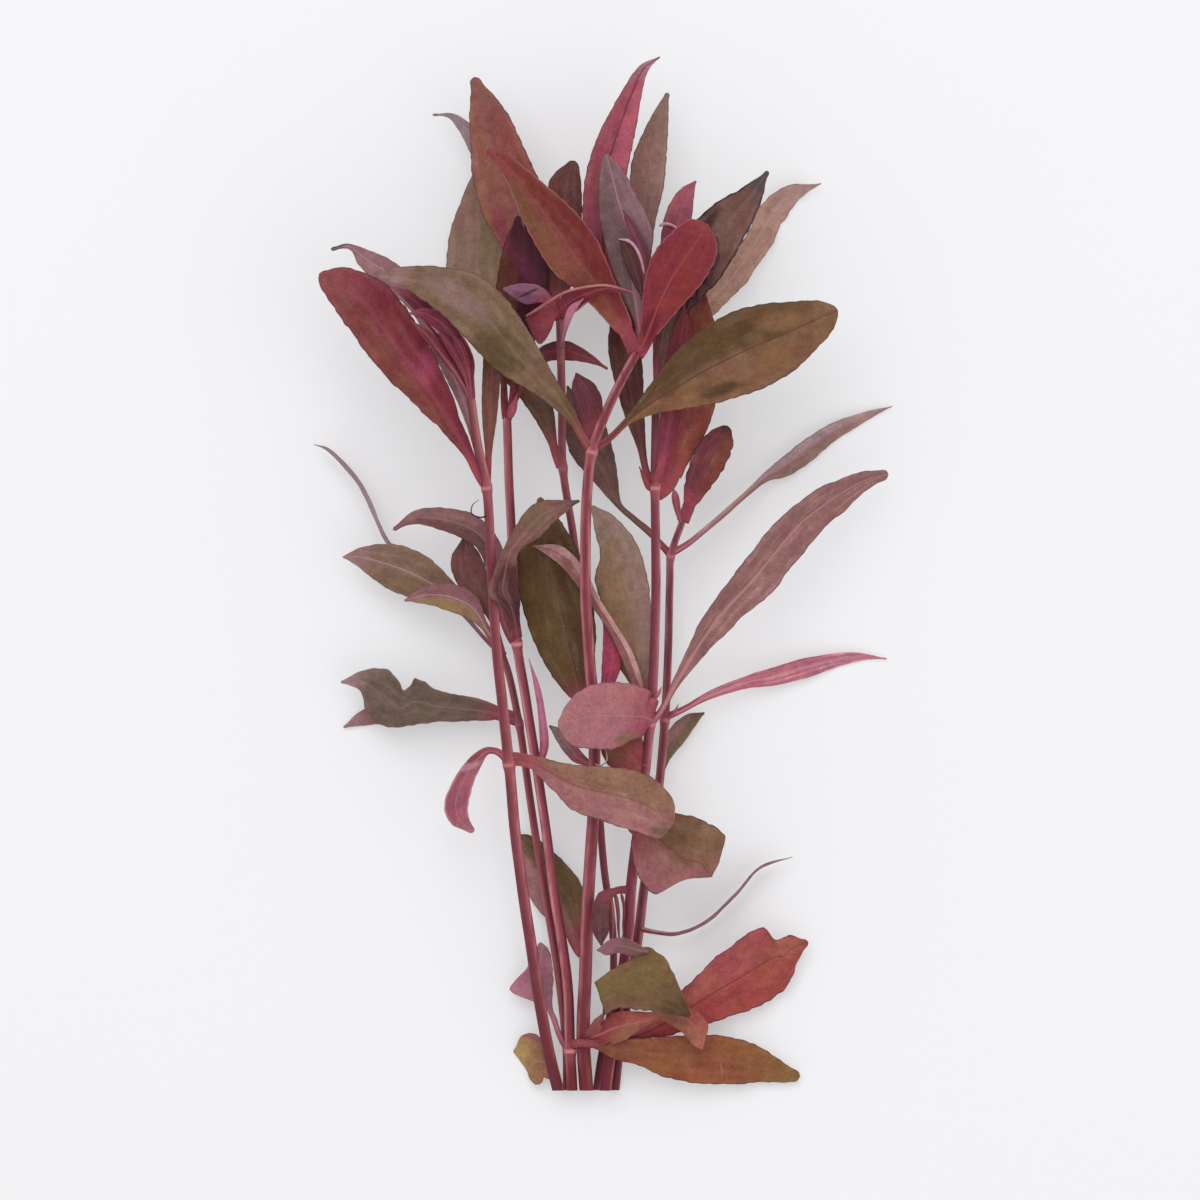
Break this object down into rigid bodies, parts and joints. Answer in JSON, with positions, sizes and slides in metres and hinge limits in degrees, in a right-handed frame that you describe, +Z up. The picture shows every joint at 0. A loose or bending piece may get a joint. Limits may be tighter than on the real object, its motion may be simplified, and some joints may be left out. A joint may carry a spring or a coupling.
{
  "type": "sessile joyweed plant",
  "caption": "Red-brown leafy aquarium stem plant: jointed burgundy stems with opposite lance-shaped leaves, cut flat at the foot and lying down.",
  "frame": {"origin": "on the surface that the plant lies on, under the middle of its outline", "axes": "+Y from the cut feet of the stems towards the top leaves, +X across the plant, +Z up from the surface it lies on"},
  "size_m": [0.1452, 0.2587, 0.0449],
  "materials": {
    "red_stem": "satin",
    "dark_stem": "satin",
    "mustard_leaf": "satin",
    "mauve_leaf": "satin",
    "olive_leaf": "satin",
    "pink_leaf": "satin",
    "dark_brown_leaf": "satin",
    "olive_brown_leaf": "satin",
    "red_brown_leaf": "satin",
    "tan_leaf": "satin",
    "magenta_leaf": "satin",
    "crimson_leaf": "satin",
    "salmon_leaf": "satin",
    "orange_brown_leaf": "satin",
    "purple_leaf": "satin"
  },
  "bodies": {
    "root": {"front_left_stem": "red_stem", "thin_left_stem": "dark_stem", "rear_left_stem": "red_stem", "centre_stem": "red_stem", "rear_centre_stem": "dark_stem", "right_stem": "red_stem", "far_right_stem": "red_stem", "mustard_foot_leaf": "mustard_leaf", "mauve_foot_leaf": "mauve_leaf", "low_olive_leaf": "olive_leaf", "drooping_pink_leaf": "pink_leaf", "rear_pink_leaf": "pink_leaf", "wavy_grey_leaf": "dark_brown_leaf", "thin_left_leaf": "mauve_leaf", "left_olive_leaf": "olive_brown_leaf", "left_dark_leaf": "dark_brown_leaf", "left_folded_leaf": "mauve_leaf", "left_arched_leaf": "mauve_leaf", "bent_band_leaf": "red_brown_leaf", "hanging_olive_leaf": "olive_leaf", "narrow_centre_leaf": "pink_leaf", "tan_centre_leaf": "tan_leaf", "pink_centre_leaf": "pink_leaf", "big_low_leaf": "pink_leaf", "curled_low_leaf": "olive_brown_leaf", "long_right_leaf": "red_brown_leaf", "pink_right_leaf": "magenta_leaf", "thin_low_leaf": "mauve_leaf", "bent_brown_leaf": "dark_brown_leaf", "front_foot_leaf": "olive_leaf", "red_foot_leaf": "crimson_leaf", "salmon_foot_leaf": "salmon_leaf", "brown_foot_leaf": "orange_brown_leaf", "left_hooked_leaf": "mauve_leaf", "left_red_leaf": "crimson_leaf", "left_brown_leaf": "red_brown_leaf", "big_left_leaf": "olive_leaf", "second_left_leaf": "olive_brown_leaf", "tan_left_leaf": "tan_leaf", "maroon_crown_leaf": "dark_brown_leaf", "purple_crown_leaf": "purple_leaf", "tall_left_leaf": "red_brown_leaf", "grey_tip_leaf": "mauve_leaf", "dark_top_leaf": "dark_brown_leaf", "diagonal_leaf": "red_brown_leaf", "tall_magenta_leaf": "magenta_leaf", "grey_centre_leaf": "mauve_leaf", "tan_top_leaf": "tan_leaf", "front_crimson_leaf": "crimson_leaf", "big_right_leaf": "olive_leaf", "forked_brown_leaf": "dark_brown_leaf", "brown_inner_leaf": "dark_brown_leaf", "magenta_inner_leaf": "magenta_leaf", "orange_inner_leaf": "orange_brown_leaf", "dark_right_leaf": "dark_brown_leaf", "tan_right_leaf": "tan_leaf", "dark_crimson_leaf": "crimson_leaf", "narrow_right_leaf": "mauve_leaf", "left_young_tuft": "crimson_leaf", "middle_young_tuft": "crimson_leaf"}
  },
  "joints": []
}
